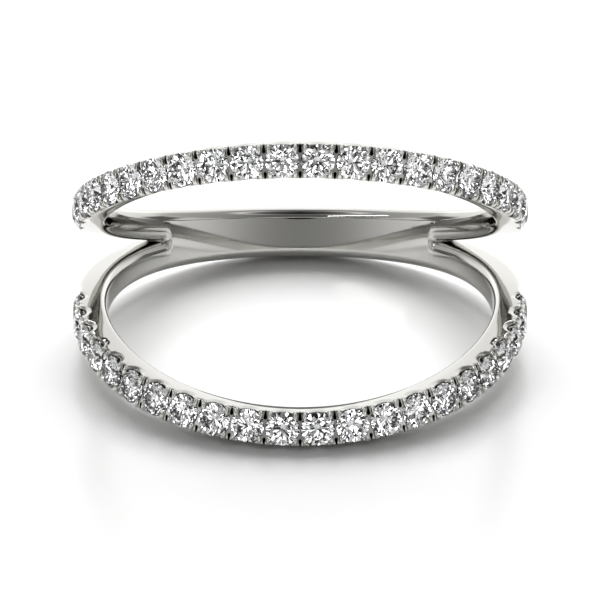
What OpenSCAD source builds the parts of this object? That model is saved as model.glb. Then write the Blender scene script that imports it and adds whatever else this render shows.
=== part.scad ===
// Open split diamond band in white gold: two rows of round brilliants that part at the
// shoulders and join in one plain shank, lying on its side as it rests by itself.
// The ring's own frame has the finger's axis along Z and the middle of the rows towards -Y.

/* [Finger] */
// Inside diameter of the ring
inner_d = 17.3; // [15:0.1:21]

/* [Band] */
// Radial thickness of the metal
metal_t = 1.35; // [1.2:0.05:1.6]
// Width of one row, square to its run
row_w = 1.4; // [1.3:0.05:1.6]
// Height of a row's middle above the mid-plane at the front
front_spread = 5.8; // [5:0.1:6.5]
// Pull of the side curve on its front half
front_pull = 3.1; // [2.6:0.1:3.6]
// Pull of the side curve on its back half
back_pull = 0.8; // [0.7:0.1:1]
// Height of a half shank's middle above the mid-plane at the back
back_spread = 0.43; // [0.4:0.01:0.5]
// Rounding of the inner edges along the rows
row_round = 0.3; // [0.2:0.02:0.4]
// Rounding of the inner edges along the shank
shank_round = 0.46; // [0.3:0.02:0.5]
// Radius of the open split's end
split_end_r = 0.05; // [0.04:0.01:0.08]

/* [Stones] */
// Stones on each side of the middle of a row
stones_a_side = 11; // [8:1:11]
// Diameter of a stone
stone_d = 1.46; // [1.4:0.01:1.48]
// Distance between stones along the row
stone_pitch = 1.528; // [1.52:0.002:1.56]
// Depth of a stone's girdle under the metal's outer radius
girdle_depth = 0.08; // [0.05:0.01:0.12]
// Table width as a share of the diameter
table_share = 0.57; // [0.52:0.01:0.62]
// Crown height as a share of the diameter
crown_share = 0.155; // [0.12:0.005:0.17]
// Pavilion depth as a share of the diameter
pavilion_share = 0.43; // [0.4:0.01:0.45]
// Girdle thickness as a share of the diameter
girdle_share = 0.025; // [0.02:0.005:0.04]

/* [Setting] */
// Clear gap between a stone and its seat
seat_gap = 0.05; // [0.03:0.005:0.05]
// Width of the cut under each stone, seen from the side
cut_w = 0.9; // [0.8:0.01:1]
// Depth of that cut under the metal's outer radius
cut_depth = 0.52; // [0.4:0.02:0.6]
// Width of the slit that parts two prongs
slit_w = 0.14; // [0.1:0.01:0.16]
// Depth of the slit under the metal's outer radius
slit_depth = 0.42; // [0.3:0.02:0.5]

/* [Hidden] */
inner_r = inner_d / 2;
outer_r = inner_r + metal_t;
girdle_r = outer_r - girdle_depth;
path_r = (inner_r + outer_r) / 2;
spread_curve = [front_spread, front_pull, back_pull, back_spread];
past = 0.6;             // how far a cutter runs past the metal
station_step = 5;       // degrees between the sections of a sweep, past the stones
band_joint = 0.26;      // from a joint between stones to the band's sections beside it
split_joint = 0.14;     // and to those of the split
round_steps = 3;        // flats in a rounded inner edge
cut_sides = 12;         // flats in the whole circle of a cut under a stone
seat_sides = 12;        // flats in a stone's seat
edge_sink = 0.02;       // how far the split's rounded edges run past the finger surface
end_sides = 12;         // flats in the split's round end
end_extra = 0.05;       // how much wider the split's round end is than the split there
facet_half = 22.5;      // half the angle between a stone's main facets
count_in_row = 2 * stones_a_side;

function stone_name(row, i) =
    str(row > 0 ? "upper" : "lower", "_stone_", i < 9 ? "0" : "", i + 1);

// Side view of the ring: height of a row's middle at an angle from the front, a Bezier curve
// along the ring's depth.
function spread(a) =
    let (u = (1 - cos(a)) / 2, v = 1 - u, c = spread_curve)
    c[0] * v * v * v + 3 * c[1] * u * v * v + 3 * c[2] * u * u * v + c[3] * u * u * u;

// Rise of a row's middle for each millimetre round the ring, at radius r.
function slope(a, r) = (spread(a + 0.5) - spread(a - 0.5)) / (r * PI / 180);

// Half the row's width along Z, where its run is inclined.
function half_w(a) = row_w / 2 * sqrt(1 + pow(slope(a, path_r), 2));

// Angle from the front at which the split has closed to its end radius.
function split_end(low = 90, high = 170, n = 24) =
    let (mid = (low + high) / 2)
    n == 0 ? mid
    : spread(mid) - half_w(mid) > split_end_r ? split_end(mid, high, n - 1)
    : split_end(low, mid, n - 1);
split_a = split_end();

// The inner edge's rounding grows from the rows to the shank.
function edge_round(a) =
    let (t = min(1, max(0, (abs(a) - 60) / (split_a - 60))))
    row_round + (shank_round - row_round) * t * t * (3 - 2 * t);

// Angle of a point that lies the distance s along the row from the front, by small steps.
function angle_at(s, a = 0, n = 24) =
    n == 0 ? a
    : let (step = s / n, bend = slope(a, girdle_r))
      angle_at(s - step, a + step / (girdle_r * PI / 180 * sqrt(1 + bend * bend)), n - 1);

stone_angles = [for (k = [0 : stones_a_side - 1]) angle_at((k + 0.5) * stone_pitch)];
joint_angles = [for (k = [0 : stones_a_side - 1]) angle_at(k * stone_pitch)];

// The ring rests on the rounded inner edge of the lower row's middle and on the outer edge of
// the shank's back: a line that touches the rounding's circle and passes that edge.
front_contact = [-(inner_r + row_round), -(spread(0) + half_w(0) - row_round)];
back_contact = [outer_r, -(spread(180) + half_w(180))];
contact_run = back_contact - front_contact;
rest_tilt = atan2(contact_run.y, contact_run.x) + asin(row_round / norm(contact_run));
lift = -(back_contact.y * cos(rest_tilt) - back_contact.x * sin(rest_tilt));
table_r = girdle_r + stone_d * (crown_share + girdle_share / 2);
front_reach = -table_r * cos(stone_angles[0]) * cos(rest_tilt)
    - (spread(stone_angles[0]) + stone_d * table_share / 2) * sin(rest_tilt);
back_reach = outer_r * cos(rest_tilt) + (spread(180) + half_w(180)) * sin(rest_tilt);
centre_y = -(front_reach + back_reach) / 2;

module at_rest() {
    translate([0, centre_y, lift]) rotate([-rest_tilt, 0, 0]) children();
}

// A point of the ring at an angle from the front, a radius and a height.
function at_angle(a, r, z) = [r * sin(a), -r * cos(a), z];

// A closed ring or an open stretch of sections, each a list of [radius, height].
module sweep(angles, sections, closed) {
    m = len(angles);
    n = len(sections[0]);
    points = [for (i = [0 : m - 1]) for (p = sections[i]) at_angle(angles[i], p.x, p.y)];
    skin = [for (i = [0 : (closed ? m - 1 : m - 2)]) for (j = [0 : n - 1])
        let (a = i * n, b = ((i + 1) % m) * n, k = (j + 1) % n)
        for (f = [[b + k, b + j, a + j], [a + k, b + k, a + j]]) f];
    ends = closed ? []
        : [[for (j = [n - 1 : -1 : 0]) j], [for (j = [0 : n - 1]) (m - 1) * n + j]];
    polyhedron(points = points, faces = concat(skin, ends), convexity = 8);
}

// Rounded inner edge: [radius, distance from the side face], from the side face inwards.
function rounded_edge(r) =
    [for (i = [0 : round_steps])
        let (a = 90 * i / round_steps)
        [inner_r + r * (1 - sin(a)), r * (1 - cos(a))]];

function reversed(list) = [for (i = [len(list) - 1 : -1 : 0]) list[i]];

// Section of the whole band, as if it had no split.
function full_section(a) =
    let (top = spread(a) + half_w(a), edge = rounded_edge(edge_round(a)))
    concat(
        [[outer_r, -top], [outer_r, top]],
        [for (p = edge) [p.x, top - p.y]],
        [for (p = reversed(edge)) [p.x, -top + p.y]]);

// Section of the open split between the rows, flared where it meets the finger.
function split_section(a) =
    let (gap = spread(a) - half_w(a), edge = rounded_edge(edge_round(a)),
        wide = gap + edge_round(a))
    concat(
        [[outer_r + past, gap]],
        [for (p = edge) [p.x - edge_sink, gap + p.y]],
        [[inner_r - past, wide], [inner_r - past, -wide]],
        [for (p = reversed(edge)) [p.x - edge_sink, -gap - p.y]],
        [[outer_r + past, -gap]]);

// Stations of a sweep from the front round to an angle: two in the metal at each joint between
// stones, a distance d to both sides of it, and then even steps.
function half_way(d, to) =
    let (row = [for (k = [0 : stones_a_side]) for (s = [-d, d])
             if ((k > 0 || s > 0) && (k < stones_a_side || s < 0)) angle_at(k * stone_pitch + s)],
        from = row[len(row) - 1], steps = round((to - from) / station_step))
    concat(row, [for (i = [1 : steps]) from + (to - from) * i / steps]);

module full_band() {
    half = half_way(band_joint, 180);
    angles = concat([for (i = [len(half) - 2 : -1 : 0]) -half[i]], half);
    sweep(angles, [for (a = angles) full_section(a)], true);
}

module open_split() {
    half = half_way(split_joint, split_a);
    angles = concat([for (a = reversed(half)) -a], half);
    sweep(angles, [for (a = angles) split_section(a)], false);
}

// The split's round end, flared like its edges, about a radial axis. It is a little wider than
// the split there, so that the two cross cleanly.
module split_end_flare(side) {
    edge = rounded_edge(edge_round(split_a));
    r = split_end_r + end_extra;
    profile = concat(
        [[0, outer_r + past], [0, inner_r - past], [r + edge_round(split_a), inner_r - past]],
        [for (p = reversed(edge)) [r + p.y, p.x - edge_sink]],
        [[r, outer_r + past]]);
    rotate([0, 0, side * split_a]) rotate([90, 0, 0]) rotate([0, 0, 180 / end_sides])
        rotate_extrude($fn = end_sides) polygon(profile);
}

// Places children on a row: X along the row, Y across it, Z outwards from the finger, with
// the origin at the metal's outer radius.
module on_row(row, a) {
    translate(at_angle(a, outer_r, row * spread(a)))
        rotate([0, 0, a])
            rotate([90, 0, 0])
                rotate([0, 0, row * atan(slope(a, girdle_r))])
                    children();
}

// The cut under a stone: a U seen from the side of the row.
module under_cut() {
    length = row_w + past;
    r = cut_w / 2;
    hull() {
        translate([0, 0, r - cut_depth]) rotate([90, 0, 0])
            cylinder(r = r, h = length, center = true, $fn = cut_sides);
        translate([-r, -length / 2, past / 2]) cube([cut_w, length, past / 2]);
    }
}

// The stone's seat: its pavilion and girdle with the clear gap round them.
module seat() {
    r = stone_d / 2 + seat_gap;
    depth = r * pavilion_share * 2;
    sink = girdle_depth + stone_d * girdle_share / 2 + seat_gap;
    rotate([0, 0, 180 / seat_sides]) rotate_extrude($fn = seat_sides)
        polygon([[0, -sink - depth], [r, -sink], [r, past], [0, past]]);
}

// The slit across the row that parts the prongs of two neighbouring stones.
module slit() {
    translate([-slit_w / 2, -row_w / 2 - past, -slit_depth])
        cube([slit_w, row_w + 2 * past, slit_depth + past]);
}

module band() {
    color([0.80, 0.79, 0.76]) at_rest() difference() {
        full_band();
        open_split();
        for (side = [-1, 1]) split_end_flare(side);
        for (row = [-1, 1]) for (side = [-1, 1]) {
            for (a = stone_angles) on_row(row, side * a) {
                under_cut();
                seat();
            }
            for (a = joint_angles) if (a > 0 || side > 0) on_row(row, side * a) slit();
        }
    }
}

function ring_of(n, radius, z, turn) =
    [for (i = [0 : n - 1])
        let (a = turn + 360 * i / n)
        [radius * cos(a), radius * sin(a), z]];

// A round brilliant with its girdle's middle at the origin and its table up.
module brilliant() {
    r = stone_d / 2;
    table = r * table_share;
    crown = stone_d * crown_share;
    pavilion = stone_d * pavilion_share;
    belt = stone_d * girdle_share / 2;
    star = (table + r) / 2;
    tip = r * 0.22;
    star_z = belt + crown * (1 - (star * cos(facet_half) - table) / (r - table));
    tip_z = -belt - pavilion * (1 - tip * cos(facet_half) / r);
    points = concat(
        ring_of(8, table, belt + crown, 0),
        ring_of(8, star, star_z, facet_half),
        ring_of(16, r, belt, 0),
        ring_of(16, r, -belt, 0),
        ring_of(8, tip, tip_z, facet_half),
        [[0, 0, -belt - pavilion]]);
    t = 0;      // first point of the table
    s = 8;      // of the star facets' tips
    g = 16;     // of the girdle's upper rim
    h = 32;     // of the girdle's lower rim
    p = 48;     // of the pavilion's tips
    culet = 56;
    faces = concat(
        [[for (i = [7 : -1 : 0]) t + i]],
        [for (i = [0 : 7]) [t + i, t + (i + 1) % 8, s + i]],
        [for (i = [0 : 7]) [t + i, s + i, g + 2 * i, s + (i + 7) % 8]],
        [for (i = [0 : 7]) [s + i, g + 2 * i + 1, g + 2 * i]],
        [for (i = [0 : 7]) [s + i, g + (2 * i + 2) % 16, g + 2 * i + 1]],
        [for (i = [0 : 15]) [g + i, g + (i + 1) % 16, h + (i + 1) % 16, h + i]],
        [for (i = [0 : 7]) [p + i, h + 2 * i, h + 2 * i + 1]],
        [for (i = [0 : 7]) [p + i, h + 2 * i + 1, h + (2 * i + 2) % 16]],
        [for (i = [0 : 7]) [culet, p + (i + 7) % 8, h + 2 * i, p + i]]);
    polyhedron(points = points, faces = faces, convexity = 2);
}

module stone(row, i) {
    side = i < stones_a_side ? -1 : 1;
    k = side > 0 ? i - stones_a_side : stones_a_side - 1 - i;
    color([0.93, 0.95, 0.97]) at_rest() on_row(row, side * stone_angles[k])
        translate([0, 0, -girdle_depth]) brilliant();
}

band();
for (row = [1, -1]) for (i = [0 : count_in_row - 1])
    stone(row, i);
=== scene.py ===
# Looks of the open split diamond band: polished white gold, shared-prong rows of round
# brilliants, a glossy pale floor and soft studio light.
import math

import bmesh
import bpy
from mathutils import Matrix, Vector


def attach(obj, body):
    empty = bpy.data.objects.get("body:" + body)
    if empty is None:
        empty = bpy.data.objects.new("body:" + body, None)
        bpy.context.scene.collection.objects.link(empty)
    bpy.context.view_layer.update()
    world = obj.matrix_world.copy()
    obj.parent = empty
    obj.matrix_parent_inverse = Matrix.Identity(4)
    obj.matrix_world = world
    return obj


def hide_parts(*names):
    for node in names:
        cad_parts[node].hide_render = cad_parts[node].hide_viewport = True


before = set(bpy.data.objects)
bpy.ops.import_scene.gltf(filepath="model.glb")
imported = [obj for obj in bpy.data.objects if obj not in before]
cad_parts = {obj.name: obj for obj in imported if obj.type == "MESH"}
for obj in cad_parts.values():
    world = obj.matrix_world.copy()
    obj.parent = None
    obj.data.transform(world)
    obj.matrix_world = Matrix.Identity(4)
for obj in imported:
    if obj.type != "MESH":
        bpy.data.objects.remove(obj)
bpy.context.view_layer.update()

# Sizes of the ring, as in the part's own source, in millimetres where nothing else is said
MM = 0.001              # a millimetre in metres
INNER_R = 8.65
METAL_T = 1.35
OUTER_R = INNER_R + METAL_T
PATH_R = (INNER_R + OUTER_R) / 2
ROW_W = 1.4
SPREAD_CURVE = (5.8, 3.1, 0.8, 0.43)    # a row's height at the front, two pulls, at the back
ROW_ROUND = 0.3
SHANK_ROUND = 0.46
SHANK_FROM = 60         # degrees from the front where a row begins to turn into the shank
STONES_A_SIDE = 11
STONE_D = 1.46
STONE_PITCH = 1.528
GIRDLE_DEPTH = 0.08
GIRDLE_R = OUTER_R - GIRDLE_DEPTH
CROWN_SHARE = 0.155
TABLE_SHARE = 0.57
GIRDLE_SHARE = 0.025
PAVILION_SHARE = 0.43
CUT_W = 0.9
PAST = 0.6              # how far a cutter runs past the metal

# Sizes that are the dressed metal's own, in millimetres where nothing else is said
SPLIT_END_R = 0.02      # radius of the split's tip
CROWN = 0.095           # how far a row's upper side stands out at its inner edge, on a curve
FLARE = 0.09            # how far a row's lower side stands out at its outer edge
ROW_SINK = 0.1          # how far the rows' outer face lies below the plain shank's
SINK_RUN = 2.5          # degrees past the last stone over which that sink fades out
EDGE = 0.08             # rounding of the outer edges
CUT_DEPTH = 0.36        # depth of the cut under a stone
CUT_RIM = 0.035         # rounding of that cut's rim
SEAT_GAP = 0.02         # room between a stone and its seat
SEAT_POINT_R = 0.002    # radius at the point of a seat
SLIT_W = 0.2            # widest width of the slit between two neighbours' prongs
SLIT_DEPTH = 0.75       # its depth there
SLIT_FLOOR = 0.03       # the slit's width at its floor, as a share of its width at the top
SLIT_BELOW = 0.55       # its depth at a row's lower side, as a share of that at the upper side
PRONG_SIZE = (0.1, 0.235, 0.2)                  # half sizes of a prong's tip
PRONG_X, PRONG_Y, PRONG_Z = 0.205, 0.49, -0.13  # its place from a joint between two stones

# Stations of a slit across a row: the distance from the row's middle, half the slit's width as
# a share of SLIT_W, and its depth as a share of SLIT_DEPTH
SLIT_STATIONS = ((0.35, 0.33, 0.6), (0.43, 0.5, 1.0), (0.56, 0.37, 0.8), (0.7, 0.22, 0.5),
                 (0.8, 0.12, 0.35))

# Fineness of the dressed metal
STEP = 1.0              # degrees between the sections of a sweep
ROUND_STEPS = 8         # flats in a rounded inner edge
EDGE_STEPS = 4          # flats in a rounded outer edge or rim
SIDE_STEPS = 6          # flats across a row's side
TIP_STEPS = 10          # stations round the tip of the split
CUT_FLATS = 20          # flats in the round floor of a cut under a stone
SEAT_SIDES = 40
PRONG_SIDES, PRONG_RINGS = 16, 9
SKIN = 0.003            # how far a cutter's edge runs past the face that it follows
MERGE = 1e-6            # points closer than this are one
METAL_SMOOTH = 25       # degrees up to which an edge is shaded smooth
PRONG_SMOOTH = 60

# Values of the materials
GOLD_TINT = (1.0, 0.99, 0.945)
GOLD_CLOUDS, GOLD_CLOUD_DETAIL = 260, 3
GOLD_GRAIN, GOLD_GRAIN_DETAIL = 1400, 4
DIAMOND_IOR = 2.417
DIAMOND_CLOUDS = 700
FLOOR_CLOUDS = 40
NOISE_LOW, NOISE_HIGH = 0.3, 0.7    # most of a noise's values lie between these

# The light of the surroundings, from straight in front (0) to straight behind (1), and its share
# from the level (0) to overhead (1). The window stands behind the ring, below a dark ceiling, and
# dark screens stand at its sides.
AROUND = [(0.0, 0.28), (0.067, 0.4), (0.146, 0.56), (0.25, 0.73), (0.5, 0.96), (0.75, 1.06),
          (0.93, 1.24), (0.97, 0.68), (1.0, 0.45)]
UPWARDS = [(0.0, 1.0), (0.3, 1.0), (0.5, 0.55), (0.86, 0.4), (0.91, 0.9), (0.95, 0.15),
           (1.0, 0.06)]
WINDOW = [(0.91, 0.0), (0.95, 0.75), (1.0, 0.88)]
WINDOW_TOP = [(0.62, 1.0), (0.74, 0.0)]
SCREENS = [(0.44, 1.0), (0.5, 0.15), (0.68, 0.15), (0.76, 1.0)]
SCREEN_TOP = [(0.3, 0.0), (0.45, 1.0)]

# The camera's own dark disc in the surroundings: degrees from its middle, and the light there
CAMERA_DISC = [(10.5, 1.0), (8, 0.05)]

# The small lamps for the stones: degrees up and how many a row has, and their glows in turn
SPARKLE_ROWS = ((7, 34), (19, 32), (31, 28), (43, 24), (55, 18), (67, 12), (79, 6))
SPARKLE_GLOWS = (4.2, 0.3, 2.2, 0.02, 1.3)
SPARKLE_SHIFT = 2                           # by how many glows one row starts after another
SPARKLE_FRONT, SPARKLE_BEHIND = 0.86, 2.4   # share of the glow, and how much it grows behind
SPARKLE_AWAY, SPARKLE_SIZE = 0.5, 0.07      # metres

# The black strips for the stones: how many, how many degrees wide, and from where to where up
FLAGS, FLAG_WIDE, FLAG_LOW, FLAG_HIGH = 15, 11, 3, 62
FLAG_AWAY = 0.6         # metres

FLOOR_HALF = 2.0        # half the floor's side, in metres

# The photograph's view, fitted to the ring: how steep and how far, and in a picture 600 wide how
# large a millimetre is and where the ring's middle lies
VIEW_STEEP = math.radians(24.4)
VIEW_AWAY = 212.5 * MM
PICTURE_W, PIXELS_A_MM = 600, 22.33
MIDDLE_X, MIDDLE_Y = 300.1, 261.2
SENSOR_W = 36.0
TO_CAMERA = (0, -math.cos(VIEW_STEEP), math.sin(VIEW_STEEP))


# The ring's course

def ease(value, start, end):
    """0 up to the start, 1 from the end on, with a smooth change between them."""
    t = min(1.0, max(0.0, (value - start) / (end - start)))
    return t * t * (3 - 2 * t)


def spread(a):
    """Height of a row's middle above the mid-plane, at an angle from the front in degrees."""
    u = (1 - math.cos(math.radians(a))) / 2
    v = 1 - u
    c = SPREAD_CURVE
    return c[0] * v ** 3 + 3 * c[1] * u * v * v + 3 * c[2] * u * u * v + c[3] * u ** 3


def slope(a, r):
    """Rise of a row's middle for each millimetre round the ring at a radius, over one degree."""
    return (spread(a + 0.5) - spread(a - 0.5)) / math.radians(r)


def half_w(a):
    """Half the row's width along the finger's axis, where its run is inclined."""
    return ROW_W / 2 * math.sqrt(1 + slope(a, PATH_R) ** 2)


def gap_edge(a):
    """Height of the split's upper edge above the mid-plane."""
    return spread(a) - half_w(a)


def edge_normal(a, reach=0.25):
    """Direction away from the split, square to its upper edge: along the ring and up."""
    s = (gap_edge(a + reach) - gap_edge(a - reach)) / (math.radians(2 * reach) * PATH_R)
    return -s / math.hypot(1, s), 1 / math.hypot(1, s)


def split_end(low=90.0, high=170.0, halvings=40):
    """Angle at which the round end of the split begins."""
    for _ in range(halvings):
        mid = (low + high) / 2
        if gap_edge(mid) > SPLIT_END_R * edge_normal(mid)[1]:
            low = mid
        else:
            high = mid
    return low


def angle_at(s, steps=96):
    """Angle of a point that lies the distance s along a row from the front."""
    a = 0.0
    for _ in range(steps):
        a += s / steps / (math.radians(GIRDLE_R) * math.sqrt(1 + slope(a, GIRDLE_R) ** 2))
    return a


SPLIT_A = split_end()
STONE_ANGLES = [angle_at((k + 0.5) * STONE_PITCH) for k in range(STONES_A_SIDE)]
JOINT_ANGLES = [angle_at(k * STONE_PITCH) for k in range(STONES_A_SIDE)]
ROW_END_A = angle_at(STONES_A_SIDE * STONE_PITCH)


def shank_share(a):
    """0 along the rows, 1 along the shank, with a smooth change where the split closes."""
    return ease(abs(a), SHANK_FROM, SPLIT_A)


def edge_round(a):
    """Rounding of the inner edges."""
    return ROW_ROUND + (SHANK_ROUND - ROW_ROUND) * shank_share(a)


def outer_r(a):
    """The rows are set a little lower than the prongs, as far as the last stone."""
    return OUTER_R - ROW_SINK * (1 - ease(abs(a), ROW_END_A, ROW_END_A + SINK_RUN))


def resting():
    """The matrix from the ring's own frame, in millimetres, to where it lies, in metres."""
    front = (-(INNER_R + ROW_ROUND), -(spread(0) + half_w(0) - ROW_ROUND))
    back = (OUTER_R, -(spread(180) + half_w(180)))
    run = (back[0] - front[0], back[1] - front[1])
    tilt = math.atan2(run[1], run[0]) + math.asin(ROW_ROUND / math.hypot(*run))
    lift = -(back[1] * math.cos(tilt) - back[0] * math.sin(tilt))
    table_r = GIRDLE_R + STONE_D * (CROWN_SHARE + GIRDLE_SHARE / 2)
    first = STONE_ANGLES[0]
    front_reach = (-table_r * math.cos(math.radians(first)) * math.cos(tilt)
                   - (spread(first) + STONE_D * TABLE_SHARE / 2) * math.sin(tilt))
    back_reach = (OUTER_R * math.cos(tilt)
                  + (spread(180) + half_w(180)) * math.sin(tilt))
    place = Vector((0, -(front_reach + back_reach) / 2, lift))
    return Matrix.Scale(MM, 4) @ Matrix.Translation(place) @ Matrix.Rotation(-tilt, 4, "X")


REST = resting()


def at_angle(a, r, z):
    """A point in the ring's frame."""
    t = math.radians(a)
    return (r * math.sin(t), -r * math.cos(t), z)


def row_place(row, a):
    """The matrix to the ring's frame from a stone's own: X along the row, Z outwards."""
    lean = math.atan(slope(a, GIRDLE_R)) * row
    return (Matrix.Translation(at_angle(a, OUTER_R, row * spread(a)))
            @ Matrix.Rotation(math.radians(a), 4, "Z")
            @ Matrix.Rotation(math.pi / 2, 4, "X")
            @ Matrix.Rotation(lean, 4, "Z"))


def row_places(angles):
    """Places at the angles to both sides of the middle of both rows, with the middle once."""
    return [row_place(row, side * a) for row in (1, -1) for side in (-1, 1)
            for a in angles if a > 0 or side > 0]


# Meshes

def link_mesh(name, points, faces):
    """A new object in the scene, from points and faces."""
    mesh = bpy.data.meshes.new(name)
    mesh.from_pydata([tuple(p) for p in points], [], faces)
    mesh.validate()
    mesh.update()
    piece = bpy.data.objects.new(name, mesh)
    bpy.context.scene.collection.objects.link(piece)
    return piece


def faces_between(sections, n, closed=False):
    """Faces from each section of n points to the next; closed adds those from last to first."""
    return [(i * n + j, (i + 1) % sections * n + j, (i + 1) % sections * n + (j + 1) % n,
             i * n + (j + 1) % n)
            for i in range(sections if closed else sections - 1) for j in range(n)]


def end_faces(sections, n):
    """The faces that close the first and the last section of n points."""
    last = (sections - 1) * n
    return [tuple(range(n)), tuple(last + j for j in reversed(range(n)))]


def turned(name, profile, sides):
    """A solid of revolution about Z from a profile of (radius, height) from floor to top."""
    n = len(profile)
    points, faces = [], []
    for i in range(sides):
        t = 2 * math.pi * i / sides
        points += [(r * math.cos(t), r * math.sin(t), z) for r, z in profile]
        a, b = i * n, (i + 1) % sides * n
        faces += [(a + j, b + j, b + j + 1, a + j + 1) for j in range(n - 1)]
    faces.append(tuple(i * n + n - 1 for i in range(sides)))
    faces.append(tuple(i * n for i in reversed(range(sides))))
    return link_mesh(name, points, faces)


def copies(name, piece, places):
    """One object that holds the piece at each place."""
    points, faces = [], []
    polygons = [tuple(p.vertices) for p in piece.data.polygons]
    for place in places:
        base = len(points)
        points += [place @ v.co for v in piece.data.vertices]
        faces += [tuple(base + i for i in p) for p in polygons]
    bpy.data.objects.remove(piece)
    return link_mesh(name, points, faces)


def facing_out(piece):
    """The piece with its double points merged and its faces turned outwards."""
    bm = bmesh.new()
    bm.from_mesh(piece.data)
    bmesh.ops.remove_doubles(bm, verts=bm.verts, dist=MERGE)
    bmesh.ops.recalc_face_normals(bm, faces=bm.faces)
    bm.to_mesh(piece.data)
    bm.free()
    return piece


def cut(piece, cutter, slot=0):
    """Take the cutter off the piece. The faces of the cut get the piece's material of the slot."""
    for material in piece.data.materials:
        cutter.data.materials.append(material)
    for p in cutter.data.polygons:
        p.material_index = slot
    mod = piece.modifiers.new("cut", "BOOLEAN")
    mod.operation = "DIFFERENCE"
    mod.solver = "MANIFOLD"
    mod.object = cutter
    bpy.context.view_layer.objects.active = piece
    bpy.ops.object.modifier_apply(modifier=mod.name)
    bpy.data.objects.remove(cutter)


def smooth(piece, degrees):
    """Shade the piece smooth, except over edges sharper than the angle."""
    for p in piece.data.polygons:
        p.use_smooth = True
    bpy.context.view_layer.objects.active = piece
    piece.select_set(True)
    bpy.ops.object.shade_smooth_by_angle(angle=math.radians(degrees))
    piece.select_set(False)


# The band

def quarter(r, steps):
    """A rounded edge, as the distances inside the two faces that it joins."""
    return [(r * (1 - math.sin(t)), r * (1 - math.cos(t)))
            for t in (math.pi / 2 * i / steps for i in range(steps + 1))]


def stand_out(a, r, faces_up):
    """How far a side of a row stands out at a radius."""
    u = max(0.0, (r - INNER_R - ROW_ROUND) / (METAL_T - ROW_ROUND))
    return (CROWN * (1 - u * u) if faces_up else FLARE * u * u) * (1 - shank_share(a))


def side_profile(a, faces_up):
    """A side of a row as (radius, depth), from the outer face round both edges to the inner."""
    top = outer_r(a)
    outer = [(top - x, d) for x, d in quarter(EDGE, EDGE_STEPS)]
    inner = [(INNER_R + x, d) for x, d in quarter(edge_round(a), ROUND_STEPS)]
    first, last = outer[0][0], inner[0][0]
    face = [(first + (last - first) * i / SIDE_STEPS, 0) for i in range(1, SIDE_STEPS)]
    return [(r, d - stand_out(a, r, faces_up)) for r, d in outer[::-1] + face + inner]


def full_section(a):
    """The band's section before the split."""
    top, lean = spread(a) + half_w(a), math.hypot(1, slope(a, PATH_R))
    upper = [(r, top - d * lean) for r, d in side_profile(a, True)]
    lower = [(r, d * lean - top) for r, d in side_profile(a, False)]
    return upper + lower[::-1]


def whole_band():
    """The band before anything is cut from it."""
    around = [-180 + STEP * i for i in range(round(360 / STEP))]
    sections = [full_section(a) for a in around]
    points = [at_angle(a, r, z) for a, section in zip(around, sections) for r, z in section]
    return link_mesh("band_metal", points, faces_between(len(around), len(sections[0]), True))


def split_stations():
    """Along the split's upper edge to its tip: angle on the band, run, height and normal."""
    n = round(SPLIT_A / STEP)
    edge = [(a, math.radians(a) * PATH_R, gap_edge(a), *edge_normal(a))
            for a in (SPLIT_A * i / n for i in range(n + 1))]
    a, x, _, nx, nz = edge[-1]
    middle, first = x - SPLIT_END_R * nx, math.atan2(nz, nx)
    turn = [first * (1 - i / TIP_STEPS) for i in range(1, TIP_STEPS + 1)]
    return edge + [(a, middle + SPLIT_END_R * math.cos(t), SPLIT_END_R * math.sin(t),
                    math.cos(t), math.sin(t)) for t in turn]


def open_split():
    """The open gap between the rows, with the rounding of its edges, as a cutter."""
    half = split_stations()
    whole = [(-1, *s) for s in reversed(half[1:])] + [(1, *s) for s in half]
    points = []
    for side, a, x, z, nx, nz in whole:
        for row in (1, -1):
            profile = side_profile(a, row < 0)
            chain = ([(OUTER_R + PAST, profile[0][1] + PAST)]
                     + [(r + math.copysign(SKIN, r - PATH_R), d) for r, d in profile]
                     + [(INNER_R - PAST, profile[-1][1] + PAST)])
            edge = [at_angle(side * math.degrees((x + d * nx) / PATH_R), r, row * (z + d * nz))
                    for r, d in chain]
            points += edge[::row]
    return link_mesh("open_split", points, faces_between(len(whole), len(points) // len(whole)))


def under_cut():
    """The U-shaped cut under a stone, whose rim at the row's sides is rounded."""
    side = [(ROW_W / 2 - x, grow) for x, grow in quarter(CUT_RIM, EDGE_STEPS)]
    side.append((ROW_W / 2 + PAST, CUT_RIM + PAST * 2))
    stations = [(-y - FLARE, grow) for y, grow in reversed(side)] + side
    points = []
    for y, grow in stations:
        r = CUT_W / 2 + grow
        floor_turn = [math.pi + math.pi * i / CUT_FLATS for i in range(CUT_FLATS + 1)]
        points += ([(-r, y, PAST)]
                   + [(r * math.cos(t), y, CUT_W / 2 - CUT_DEPTH + r * math.sin(t))
                      for t in floor_turn]
                   + [(r, y, PAST)])
    n = len(points) // len(stations)
    return link_mesh("under_cut", points,
                     faces_between(len(stations), n) + end_faces(len(stations), n))


def seat():
    """The cone and the round opening that a stone lies in."""
    r = STONE_D / 2 + SEAT_GAP
    sink = GIRDLE_DEPTH + STONE_D * GIRDLE_SHARE / 2 + SEAT_GAP
    depth = r * PAVILION_SHARE * 2
    return turned("seat", [(SEAT_POINT_R, -sink - depth), (r, -sink), (r, PAST)], SEAT_SIDES)


def slit():
    """The slit between two neighbours' prongs at one side of a row, a wedge in section."""
    points = []
    for y, width, depth in SLIT_STATIONS:
        w, d = SLIT_W * width, SLIT_DEPTH * depth
        top = w * (1 + PAST / d)
        points += [(-top, y, PAST), (-SLIT_FLOOR * w, y, -d), (SLIT_FLOOR * w, y, -d),
                   (top, y, PAST)]
    sections = len(SLIT_STATIONS)
    return link_mesh("slit", points, faces_between(sections, 4) + end_faces(sections, 4))


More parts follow.
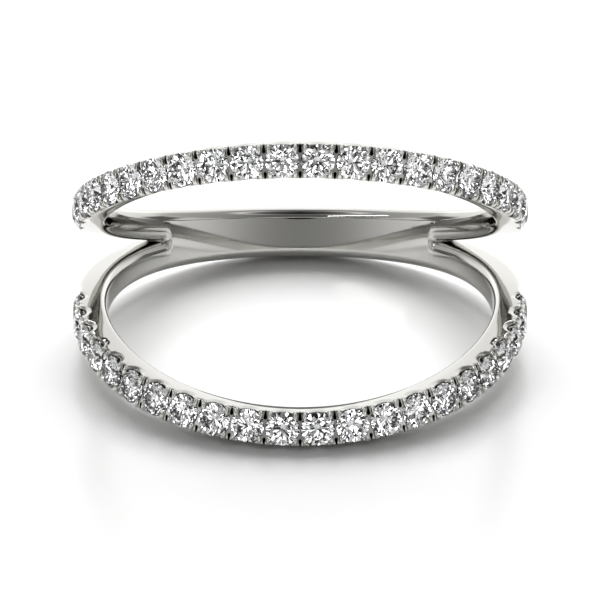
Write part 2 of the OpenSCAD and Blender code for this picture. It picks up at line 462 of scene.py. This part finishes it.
def make_band(metal, slit_painted_shade):
    """The band, with the open split, the cuts under the stones, the seats and the slits, whose
    walls are painted dark as shade.
    """
    band = facing_out(whole_band())
    band.data.materials.append(metal)
    band.data.materials.append(slit_painted_shade)
    cut(band, facing_out(open_split()))
    cut(band, facing_out(copies("under_cuts", under_cut(), row_places(STONE_ANGLES))))
    cut(band, facing_out(copies("seats", seat(), row_places(STONE_ANGLES))))
    # A row's lower side stands out by the flare, and its slits are shallower.
    below = (Matrix.Translation((0, -FLARE, 0)) @ Matrix.Rotation(math.pi, 4, "Z")
             @ Matrix.Diagonal((1, 1, SLIT_BELOW, 1)))
    sides = [place @ side for place in row_places(JOINT_ANGLES) for side in (Matrix(), below)]
    # The slits' walls get the material of slot 1, a near-black gold: painted shade in the narrow
    # gaps between the prongs.
    cut(band, facing_out(copies("slits", slit(), sides)), slot=1)
    band.data.transform(REST)
    smooth(band, METAL_SMOOTH)
    return band


# The prongs

def prong_tip():
    """A rounded prong's head, with its long axis across the row."""
    sides, rings = PRONG_SIDES, PRONG_RINGS
    rx, ry, rz = PRONG_SIZE
    points = [(0, 0, -rz)]
    for i in range(1, rings):
        t = -math.pi / 2 + math.pi * i / rings
        points += [(rx * math.cos(t) * math.cos(2 * math.pi * j / sides),
                    ry * math.cos(t) * math.sin(2 * math.pi * j / sides),
                    rz * math.sin(t)) for j in range(sides)]
    points.append((0, 0, rz))
    faces = []
    for j in range(sides):
        k = (j + 1) % sides
        starts = [1 + i * sides for i in range(rings - 1)]
        faces.append((0, starts[0] + k, starts[0] + j))
        faces += [(low + j, low + k, high + k, high + j)
                  for low, high in zip(starts, starts[1:])]
        faces.append((starts[-1] + j, starts[-1] + k, len(points) - 1))
    return link_mesh("prong_tip", points, faces)


def make_prongs(metal):
    """All the prongs' tips, four round each joint between two stones."""
    places = [joint @ Matrix.Translation((x, y, PRONG_Z))
              for joint in row_places(JOINT_ANGLES)
              for x in (-PRONG_X, PRONG_X)
              for y in (-PRONG_Y - FLARE / 2, PRONG_Y)]
    prongs = copies("prong_tips", prong_tip(), places)
    prongs.data.transform(REST)
    smooth(prongs, PRONG_SMOOTH)
    # The prongs get the brighter copy of the gold: painted brightness, not a different metal.
    prongs.data.materials.append(metal)
    return prongs


# Materials

def grey(value):
    return (value, value, value)


def new_material(name):
    """A material with one shader, with that shader and the node tree."""
    material = bpy.data.materials.new(name)
    material.use_nodes = True
    tree = material.node_tree
    tree.nodes.clear()
    out = tree.nodes.new("ShaderNodeOutputMaterial")
    shader = tree.nodes.new("ShaderNodeBsdfPrincipled")
    tree.links.new(shader.outputs["BSDF"], out.inputs["Surface"])
    return material, shader, tree


def ramp(tree, value, stops):
    """The colour between the stops, each (place, colour), at the value."""
    node = tree.nodes.new("ShaderNodeValToRGB")
    elements = node.color_ramp.elements
    while len(elements) > 1:
        elements.remove(elements[-1])
    elements[0].position, elements[0].color = stops[0][0], (*stops[0][1], 1)
    for place, colour in stops[1:]:
        elements.new(place).color = (*colour, 1)
    tree.links.new(value, node.inputs["Fac"])
    return node.outputs["Color"]


def clouds(tree, scale, detail=2):
    """A soft noise over the object."""
    where = tree.nodes.new("ShaderNodeTexCoord")
    noise = tree.nodes.new("ShaderNodeTexNoise")
    noise.inputs["Scale"].default_value = scale
    noise.inputs["Detail"].default_value = detail
    tree.links.new(where.outputs["Object"], noise.inputs["Vector"])
    return noise.outputs["Fac"]


def two_tones(tree, shader, noise, dark, light):
    """Base colour that drifts between two tones."""
    tone = ramp(tree, noise, [(NOISE_LOW, dark), (NOISE_HIGH, light)])
    tree.links.new(tone, shader.inputs["Base Color"])


def white_gold(name, dark, light, finest, coarsest):
    """Polished white gold between two tones and two roughnesses."""
    material, shader, tree = new_material(name)
    shader.inputs["Metallic"].default_value = 1.0
    two_tones(tree, shader, clouds(tree, GOLD_CLOUDS, GOLD_CLOUD_DETAIL),
              [dark * c for c in GOLD_TINT], [light * c for c in GOLD_TINT])
    rough = tree.nodes.new("ShaderNodeMapRange")
    rough.inputs["To Min"].default_value = finest
    rough.inputs["To Max"].default_value = coarsest
    tree.links.new(clouds(tree, GOLD_GRAIN, GOLD_GRAIN_DETAIL), rough.inputs["Value"])
    tree.links.new(rough.outputs["Result"], shader.inputs["Roughness"])
    return material


def diamond():
    """Clear diamond, whose outer faces mirror less, so that the light inside shows."""
    material, shader, tree = new_material("faceted_diamond")
    shader.inputs["Transmission Weight"].default_value = 1.0
    shader.inputs["IOR"].default_value = DIAMOND_IOR
    shader.inputs["Specular Tint"].default_value = (*grey(0.4), 1)
    shader.inputs["Roughness"].default_value = 0.0
    two_tones(tree, shader, clouds(tree, DIAMOND_CLOUDS), (0.97, 0.98, 1.0), grey(1.0))
    return material


def glossy_floor():
    """A pale floor that mirrors the ring faintly."""
    material, shader, tree = new_material("pale_floor")
    two_tones(tree, shader, clouds(tree, FLOOR_CLOUDS), grey(0.9), grey(0.92))
    shader.inputs["Roughness"].default_value = 0.2
    shader.inputs["IOR"].default_value = 1.8
    return material


def black_cloth():
    """Cloth that gives no light back."""
    material, shader, _ = new_material("black_cloth")
    shader.inputs["Base Color"].default_value = (*grey(0.01), 1)
    shader.inputs["Roughness"].default_value = 1.0
    shader.inputs["Specular IOR Level"].default_value = 0.0
    return material


# Studio

def studio_world():
    """Surroundings that are dim in front, pale at the sides and bright behind the ring."""
    world = bpy.data.worlds.new("studio")
    bpy.context.scene.world = world
    world.use_nodes = True
    tree = world.node_tree
    tree.nodes.clear()

    def grey_ramp(value, stops):
        return ramp(tree, value, [(at, grey(v)) for at, v in stops])

    def vector(operation, first, second):
        node = tree.nodes.new("ShaderNodeVectorMath")
        node.operation = operation
        tree.links.new(first, node.inputs[0])
        if isinstance(second, tuple):
            node.inputs[1].default_value = second
        else:
            tree.links.new(second, node.inputs[1])
        return node.outputs["Value" if operation == "DOT_PRODUCT" else "Vector"]

    def axis(value, name):
        node = tree.nodes.new("ShaderNodeSeparateXYZ")
        tree.links.new(value, node.inputs["Vector"])
        return node.outputs[name]

    where = tree.nodes.new("ShaderNodeTexCoord").outputs["Generated"]
    level = tree.nodes.new("ShaderNodeVectorMath")
    level.operation = "NORMALIZE"
    tree.links.new(vector("MULTIPLY", where, (1, 1, 0)), level.inputs[0])
    behind = tree.nodes.new("ShaderNodeMapRange")
    behind.inputs["From Min"].default_value = -1
    behind.inputs["From Max"].default_value = 1
    tree.links.new(axis(level.outputs["Vector"], "Y"), behind.inputs["Value"])
    turn, height = behind.outputs["Result"], axis(where, "Z")

    room = vector("MULTIPLY", grey_ramp(turn, AROUND), grey_ramp(height, UPWARDS))
    screens = vector("MAXIMUM", grey_ramp(turn, SCREENS), grey_ramp(height, SCREEN_TOP))
    room = vector("MULTIPLY", room, screens)
    disc = grey_ramp(vector("DOT_PRODUCT", where, TO_CAMERA),
                     [(math.cos(math.radians(d)), v) for d, v in CAMERA_DISC])
    room = vector("MULTIPLY", room, disc)
    window = vector("MULTIPLY", grey_ramp(turn, WINDOW), grey_ramp(height, WINDOW_TOP))
    light = tree.nodes.new("ShaderNodeBackground")
    tree.links.new(vector("ADD", room, window), light.inputs["Color"])
    out = tree.nodes.new("ShaderNodeOutputWorld")
    tree.links.new(light.outputs["Background"], out.inputs["Surface"])


def direction(around, up):
    """Unit vector at an angle from straight behind and an angle up, both in degrees."""
    a, e = math.radians(around), math.radians(up)
    return Vector((math.sin(a) * math.cos(e), math.cos(a) * math.cos(e), math.sin(e)))


def area_light(name, around, up, away, size, glow):
    """A lamp that shines at the ring from a direction. Its glow is how bright its face is."""
    data = bpy.data.lights.new(name, "AREA")
    data.shape = "RECTANGLE"
    data.size, data.size_y = size
    data.energy = glow * size[0] * size[1] * math.pi
    lamp = bpy.data.objects.new(name, data)
    lamp.location = direction(around, up) * away
    lamp.rotation_euler = direction(around, up).to_track_quat("Z", "Y").to_euler()
    bpy.context.scene.collection.objects.link(lamp)
    return lamp


def studio_lamps():
    """A narrow key that the metal mirrors, and a broad lamp from behind for the floor."""
    key = area_light("key", around=-125, up=52, away=0.4, size=(0.3, 0.012), glow=12)
    key.visible_diffuse = False
    back = area_light("back", around=0, up=46, away=0.6, size=(0.6, 0.35), glow=7.2)
    back.visible_glossy = False


def sparkle_lamps():
    """Small lamps all round that only the light inside the stones shows."""
    for row, (up, many) in enumerate(SPARKLE_ROWS):
        for i in range(many):
            around = 360 * (i + row / 2) / many
            behind = (1 + math.cos(math.radians(around))) / 2
            glow = (SPARKLE_GLOWS[(i + SPARKLE_SHIFT * row) % len(SPARKLE_GLOWS)]
                    * (SPARKLE_FRONT + SPARKLE_BEHIND * behind))
            lamp = area_light(f"sparkle_{row}_{i}", around, up, SPARKLE_AWAY,
                              (SPARKLE_SIZE, SPARKLE_SIZE), glow)
            lamp.visible_glossy = False
            lamp.visible_diffuse = False


def black_flags():
    """Upright black strips far round the ring, which only the light inside the stones shows."""
    corners = ((0, FLAG_LOW), (FLAG_WIDE, FLAG_LOW), (FLAG_WIDE, FLAG_HIGH), (0, FLAG_HIGH))
    points = [direction(360 * i / FLAGS + turn, up) * FLAG_AWAY
              for i in range(FLAGS) for turn, up in corners]
    flags = link_mesh("black_flags", points,
                      [tuple(4 * i + k for k in range(4)) for i in range(FLAGS)])
    flags.data.materials.append(black_cloth())
    flags.visible_camera = False
    flags.visible_diffuse = False
    flags.visible_glossy = False
    flags.visible_shadow = False


def floor():
    """A large square under the ring."""
    points = [(x * FLOOR_HALF, y * FLOOR_HALF, 0) for x, y in ((-1, -1), (1, -1), (1, 1), (-1, 1))]
    piece = link_mesh("floor", points, [(0, 1, 2, 3)])
    piece.data.materials.append(glossy_floor())


def camera():
    """The photograph's view."""
    up = Vector((0, math.sin(VIEW_STEEP), math.cos(VIEW_STEEP)))
    middle = REST @ Vector((0, 0, 0))
    place = middle + Vector(TO_CAMERA) * VIEW_AWAY
    aim = (middle + up * ((MIDDLE_Y - PICTURE_W / 2) / PIXELS_A_MM * MM)
           + Vector((1, 0, 0)) * ((PICTURE_W / 2 - MIDDLE_X) / PIXELS_A_MM * MM))
    data = bpy.data.cameras.new("camera")
    data.sensor_width = SENSOR_W
    data.lens = PIXELS_A_MM * VIEW_AWAY / MM / PICTURE_W * SENSOR_W
    data.clip_start = 0.01
    data.clip_end = 10
    eye = bpy.data.objects.new("camera", data)
    eye.location = place
    eye.rotation_euler = (aim - place).to_track_quat("-Z", "Y").to_euler()
    bpy.context.scene.collection.objects.link(eye)
    bpy.context.scene.camera = eye


def main():
    bpy.context.scene.view_settings.view_transform = "Standard"
    metal = white_gold("polished_white_gold", dark=0.595, light=0.625, finest=0.03, coarsest=0.09)
    # A brighter copy of the same white gold for the prongs: painted brightness standing in for the
    # light that their tips mirror.
    bright = white_gold("prong_gold_painted_brighter", dark=0.86, light=0.9, finest=0.1, coarsest=0.18)
    # A near-black copy of the gold for the slits' walls: painted shade, where the deep gaps only
    # look dark.
    slit_painted_shade = white_gold("slit_painted_shade_gold", dark=0.04, light=0.07, finest=0.3, coarsest=0.5)
    gem = diamond()
    band = make_band(metal, slit_painted_shade)
    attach(band, "root")
    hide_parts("band")
    prongs = make_prongs(bright)
    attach(prongs, "root")
    for name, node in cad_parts.items():
        node.data.materials.clear()
        node.data.materials.append(metal if name == "band" else gem)
    floor()
    studio_world()
    studio_lamps()
    sparkle_lamps()
    black_flags()
    camera()


main()
